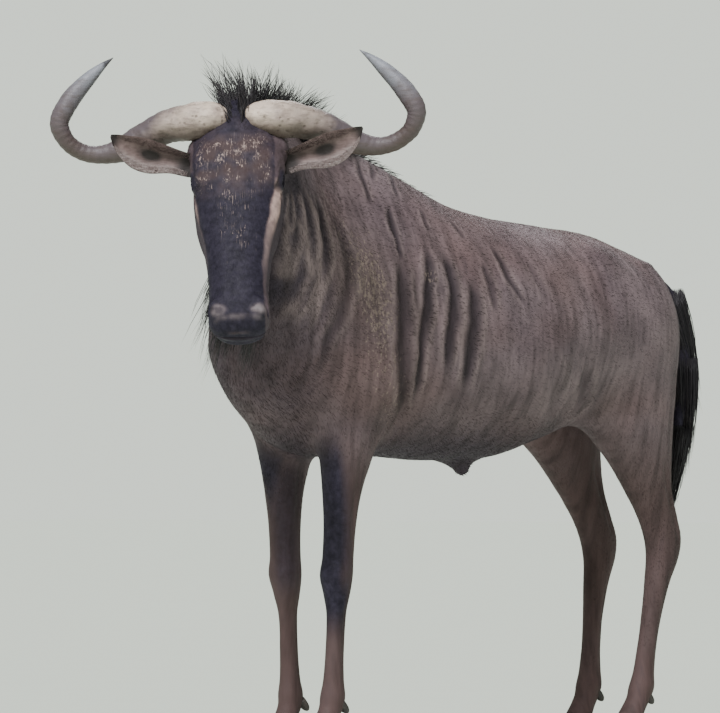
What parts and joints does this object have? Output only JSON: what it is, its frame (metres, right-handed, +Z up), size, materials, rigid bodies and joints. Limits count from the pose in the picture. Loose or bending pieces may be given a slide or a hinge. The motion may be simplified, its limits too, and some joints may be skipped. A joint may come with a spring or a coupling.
{
  "type": "wildebeest",
  "caption": "Adult bull blue wildebeest standing with its head turned towards its left, curved horns, dark mane and beard, and a long dark tail.",
  "frame": {"origin": "on the ground, under the middle of the whole animal's outline as seen from above", "axes": "+X is the way the trunk faces, +Y is the animal's left side, +Z is up"},
  "size_m": [1.9388, 0.7042, 1.5335],
  "materials": {
    "hide": "short dark grey-brown coat, with darker stripes on the neck and flanks",
    "hair": "long, coarse, nearly black hair",
    "horn": "smooth, slightly worn horn, pale at the boss and grey along the curve",
    "hoof": "dark, satin horn",
    "eye": "wet and glossy, very dark brown"
  },
  "bodies": {
    "root": {"ear_left": "hide", "ear_right": "hide", "eye_left": "eye", "eye_right": "eye", "foreleg_left": "hide", "foreleg_right": "hide", "head": "hide", "hindleg_left": "hide", "hindleg_right": "hide", "hoof_fore_left_inner": "hoof", "hoof_fore_left_outer": "hoof", "hoof_fore_right_inner": "hoof", "hoof_fore_right_outer": "hoof", "hoof_hind_left_inner": "hoof", "hoof_hind_left_outer": "hoof", "hoof_hind_right_inner": "hoof", "hoof_hind_right_outer": "hoof", "horn_left": "horn", "horn_right": "horn", "neck": "hide", "tail": "hair", "torso": "hide"}
  },
  "joints": []
}
